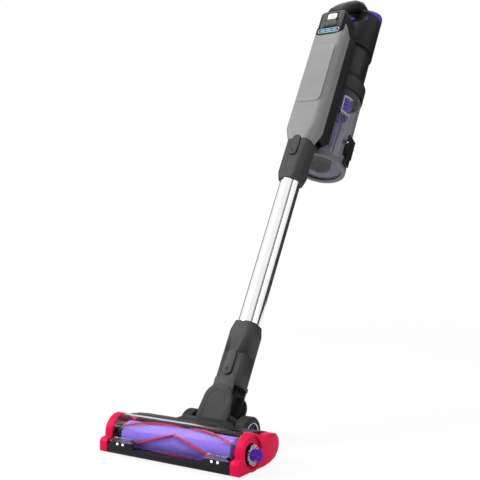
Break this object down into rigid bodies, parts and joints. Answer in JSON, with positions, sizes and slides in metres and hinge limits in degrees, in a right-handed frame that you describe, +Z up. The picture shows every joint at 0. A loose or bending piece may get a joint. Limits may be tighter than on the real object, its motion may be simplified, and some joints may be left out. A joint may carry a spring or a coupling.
{
  "type": "cordless stick vacuum",
  "caption": "Cordless stick vacuum leaning back on its wheels: motor pod and clear dust bin behind a grey body, metal wand, swivelling powered floor head with a lit roller window.",
  "frame": {"origin": "middle of the handle's grip, on its centre line", "axes": "+Z up, +X to the right of the user who faces the back of the machine's front, +Y away from the floor head towards the user; the wand leans back by 30 degrees in the YZ plane"},
  "size_m": [0.29, 0.7622, 0.8768],
  "materials": {
    "casing_grey": "satin",
    "black_plastic": "satin",
    "dark_grey_plastic": "satin",
    "gloss_black": "gloss",
    "white_key": "satin",
    "cyan_light": "glowing",
    "violet_plastic": "satin",
    "violet_brush": "soft",
    "smoke_clear": "clear",
    "lavender_clear": "clear",
    "window_clear": "clear",
    "crimson_plastic": "gloss",
    "crimson_bristle": "soft",
    "aluminium": "bright anodised",
    "steel": "plain",
    "rubber": "matt",
    "filter_fleece": "pleated",
    "cell_wrap": "plain",
    "board_green": "plain",
    "lamp_white": "glowing",
    "hub_plastic": "satin"
  },
  "bodies": {
    "hand_unit": {"front_casing": "casing_grey", "rear_frame": "black_plastic", "control_panel": "gloss_black", "battery_lights": "cyan_light", "handle_arch": "black_plastic", "grip_pad": "rubber", "motor_housing": "black_plastic", "pod_shroud": "black_plastic", "suction_motor": "steel", "bin_band": "dark_grey_plastic", "bin_shell": "smoke_clear", "cyclone_tube": "lavender_clear", "cyclone_fins": "violet_plastic", "intake_duct": "dark_grey_plastic", "lid_hinge_pin": "steel", "latch_pin": "steel", "battery_cells": "cell_wrap", "battery_tray": "black_plastic", "control_board": "board_green", "collar": "dark_grey_plastic", "collar_rim": "black_plastic"},
    "power_key": {"power_button": "white_key"},
    "wand_key": {"wand_button": "dark_grey_plastic"},
    "neck_key": {"neck_button": "dark_grey_plastic"},
    "filter_key": {"filter_release": "violet_plastic"},
    "filter": {"filter_cap": "violet_plastic", "filter_element": "filter_fleece"},
    "motor_rotor": {"impeller": "aluminium"},
    "lid": {"bin_lid": "casing_grey", "lid_window": "smoke_clear", "lid_boss": "dark_grey_plastic"},
    "latch": {"bin_latch": "black_plastic"},
    "wand": {"wand_tube": "aluminium"},
    "neck": {"upper_neck": "dark_grey_plastic"},
    "yoke_arm": {"yoke": "dark_grey_plastic", "yoke_inlay": "dark_grey_plastic", "swivel_cover": "dark_grey_plastic", "swivel_pins": "steel", "duct_hose": "rubber"},
    "floor_head": {"head_base": "black_plastic", "head_housing": "dark_grey_plastic", "roller_window": "window_clear", "left_cap": "crimson_plastic", "right_cap": "crimson_plastic", "head_lamps": "lamp_white", "lamp_guides": "window_clear", "brush_motor": "steel", "drive_belt": "rubber", "wheel_axle": "steel", "sole_screws": "steel"},
    "roller": {"brush_core": "violet_brush", "bristle_strips": "crimson_bristle", "edge_brush": "violet_plastic", "edge_bristles": "violet_brush", "brush_pulley": "dark_grey_plastic"},
    "drive_pulley": {"motor_pulley": "steel"},
    "left_wheel": {"left_tyre": "rubber", "left_hub": "hub_plastic"},
    "right_wheel": {"right_tyre": "rubber", "right_hub": "hub_plastic"}
  },
  "joints": [
    {"name": "power_press", "type": "slide", "parent": "hand_unit", "child": "power_key", "axis": [0, 0.8643, -0.503], "range_m": [0, 0.0008], "stiffness_N_per_m": 900},
    {"name": "wand_release_press", "type": "slide", "parent": "hand_unit", "child": "wand_key", "axis": [0, 0.8643, -0.503], "range_m": [0, 0.0012], "stiffness_N_per_m": 900},
    {"name": "filter_release_press", "type": "slide", "parent": "hand_unit", "child": "filter_key", "axis": [0, 0.8643, -0.503], "range_m": [0, 0.002], "stiffness_N_per_m": 700},
    {"name": "filter_pull", "type": "slide", "parent": "hand_unit", "child": "filter", "axis": [0, 0.9259, -0.3778], "range_m": [0, 0.06]},
    {"name": "impeller_spin", "type": "hinge", "parent": "hand_unit", "child": "motor_rotor", "pos_m": [0, -0.0252, -0.16855], "axis": [0, 0.503, 0.8643], "continuous": true},
    {"name": "lid_hinge", "type": "hinge", "parent": "hand_unit", "child": "lid", "pos_m": [-0.05992, -0.13373, -0.36126], "axis": [0.0523, 0.8631, -0.5023], "range_deg": [0, 95]},
    {"name": "latch_rock", "type": "hinge", "parent": "hand_unit", "child": "latch", "pos_m": [0.0566, -0.11281, -0.31906], "axis": [0, -0.8643, 0.503], "range_deg": [0, 6], "stiffness_Nm_per_rad": 0.6},
    {"name": "wand_pull", "type": "slide", "parent": "hand_unit", "child": "wand", "axis": [0, -0.503, -0.8643], "range_m": [0, 0.045]},
    {"name": "head_pull", "type": "slide", "parent": "wand", "child": "neck", "axis": [0, -0.503, -0.8643], "range_m": [0, 0.045]},
    {"name": "neck_release_press", "type": "slide", "parent": "neck", "child": "neck_key", "axis": [0, 0.8643, -0.503], "range_m": [0, 0.0012], "stiffness_N_per_m": 900},
    {"name": "neck_swivel", "type": "hinge", "parent": "neck", "child": "yoke_arm", "pos_m": [0, -0.48427, -0.79032], "axis": [0, 0.8643, -0.503], "range_deg": [-50, 50]},
    {"name": "head_pitch", "type": "hinge", "parent": "yoke_arm", "child": "floor_head", "pos_m": [0, -0.50136, -0.82723], "axis": [1, 0, 0], "range_deg": [-30, 50]},
    {"name": "roller_spin", "type": "hinge", "parent": "floor_head", "child": "roller", "pos_m": [0, -0.60776, -0.82723], "axis": [1, 0, 0], "continuous": true},
    {"name": "drive_pulley_spin", "type": "hinge", "parent": "floor_head", "child": "drive_pulley", "pos_m": [-0.11, -0.55936, -0.82773], "axis": [1, 0, 0], "continuous": true},
    {"name": "left_wheel_roll", "type": "hinge", "parent": "floor_head", "child": "left_wheel", "pos_m": [-0.055, -0.50136, -0.82723], "axis": [1, 0, 0], "continuous": true},
    {"name": "right_wheel_roll", "type": "hinge", "parent": "floor_head", "child": "right_wheel", "pos_m": [0.055, -0.50136, -0.82723], "axis": [1, 0, 0], "continuous": true}
  ],
  "couplings": [
    {"joint": "drive_pulley_spin", "follows": "roller_spin", "ratio": 2}
  ]
}
